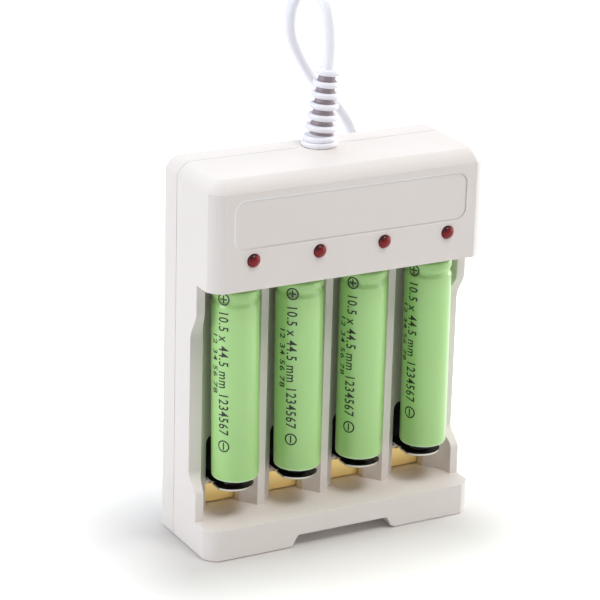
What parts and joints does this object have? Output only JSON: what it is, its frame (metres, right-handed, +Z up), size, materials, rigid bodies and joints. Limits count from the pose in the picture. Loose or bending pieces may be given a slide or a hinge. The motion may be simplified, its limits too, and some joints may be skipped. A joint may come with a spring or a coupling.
{
  "type": "battery charger",
  "caption": "Upright white USB charger with open bays for AA or AAA cells, green AAA cells fitted, red lamps and a white lead.",
  "frame": {"origin": "middle of the base of the housing and its lamps, on the surface it stands on", "axes": "+X to the right seen from the front, +Y to the back, +Z up"},
  "size_m": [0.0931, 0.07, 0.1205],
  "materials": {
    "housing": "fine matt moulded ABS",
    "lead_sheath": "soft white vinyl, faint sheen",
    "green_sleeve": "shrink sleeve, satin",
    "cell_steel": "bright nickel-plated can",
    "nickel": "nickel-plated strip",
    "brass": "plain brass strip",
    "steel": "zinc-plated screw",
    "red_lens": "clear red epoxy",
    "black_plastic": "black moulding",
    "board": "green solder mask",
    "resistor": "tan lacquer",
    "tongue": "white insulator"
  },
  "bodies": {
    "charger": {"front_housing": "housing", "rear_cover": "housing", "cover_screws": "steel", "circuit_board": "board", "board_screws": "steel", "charge_resistors": "resistor", "transistors": "black_plastic", "capacitor": "black_plastic", "control_chip": "black_plastic", "led_1": "red_lens", "led_2": "red_lens", "led_3": "red_lens", "led_4": "red_lens", "contact_carrier": "black_plastic", "negative_bus": "brass", "aaa_flap_1": "nickel", "aaa_flap_2": "nickel", "aaa_flap_3": "nickel", "aaa_flap_4": "nickel", "cell_can_1": "cell_steel", "cell_can_2": "cell_steel", "cell_can_3": "cell_steel", "cell_can_4": "cell_steel", "cell_sleeve_1": "green_sleeve", "cell_sleeve_2": "green_sleeve", "cell_sleeve_3": "green_sleeve", "cell_sleeve_4": "green_sleeve", "strain_relief": "lead_sheath", "cord": "lead_sheath", "cord_coil": "lead_sheath", "cord_tail": "lead_sheath", "plug_grip": "lead_sheath", "plug_shell": "nickel", "plug_tongue": "tongue"},
    "negative_leaf_1": {"negative_leaf_1": "brass"},
    "negative_leaf_2": {"negative_leaf_2": "brass"},
    "negative_leaf_3": {"negative_leaf_3": "brass"},
    "negative_leaf_4": {"negative_leaf_4": "brass"},
    "positive_contact_1": {"positive_contact_1": "nickel"},
    "positive_contact_2": {"positive_contact_2": "nickel"},
    "positive_contact_3": {"positive_contact_3": "nickel"},
    "positive_contact_4": {"positive_contact_4": "nickel"}
  },
  "joints": [
    {"name": "negative_flex_1", "type": "hinge", "parent": "charger", "child": "negative_leaf_1", "pos_m": [-0.0237, 0.00382, 0.0076], "axis": [1, 0, 0], "range_deg": [0, 6], "stiffness_Nm_per_rad": 0.02},
    {"name": "negative_flex_2", "type": "hinge", "parent": "charger", "child": "negative_leaf_2", "pos_m": [-0.0079, 0.00382, 0.0076], "axis": [1, 0, 0], "range_deg": [0, 6], "stiffness_Nm_per_rad": 0.02},
    {"name": "negative_flex_3", "type": "hinge", "parent": "charger", "child": "negative_leaf_3", "pos_m": [0.0079, 0.00382, 0.0076], "axis": [1, 0, 0], "range_deg": [0, 6], "stiffness_Nm_per_rad": 0.02},
    {"name": "negative_flex_4", "type": "hinge", "parent": "charger", "child": "negative_leaf_4", "pos_m": [0.0237, 0.00382, 0.0076], "axis": [1, 0, 0], "range_deg": [0, 6], "stiffness_Nm_per_rad": 0.02},
    {"name": "positive_flex_1", "type": "hinge", "parent": "charger", "child": "positive_contact_1", "pos_m": [-0.0237, 0.00355, 0.0636], "axis": [-1, 0, 0], "range_deg": [0, 8], "stiffness_Nm_per_rad": 0.02},
    {"name": "positive_flex_2", "type": "hinge", "parent": "charger", "child": "positive_contact_2", "pos_m": [-0.0079, 0.00355, 0.0636], "axis": [-1, 0, 0], "range_deg": [0, 8], "stiffness_Nm_per_rad": 0.02},
    {"name": "positive_flex_3", "type": "hinge", "parent": "charger", "child": "positive_contact_3", "pos_m": [0.0079, 0.00355, 0.0636], "axis": [-1, 0, 0], "range_deg": [0, 8], "stiffness_Nm_per_rad": 0.02},
    {"name": "positive_flex_4", "type": "hinge", "parent": "charger", "child": "positive_contact_4", "pos_m": [0.0237, 0.00355, 0.0636], "axis": [-1, 0, 0], "range_deg": [0, 8], "stiffness_Nm_per_rad": 0.02}
  ]
}
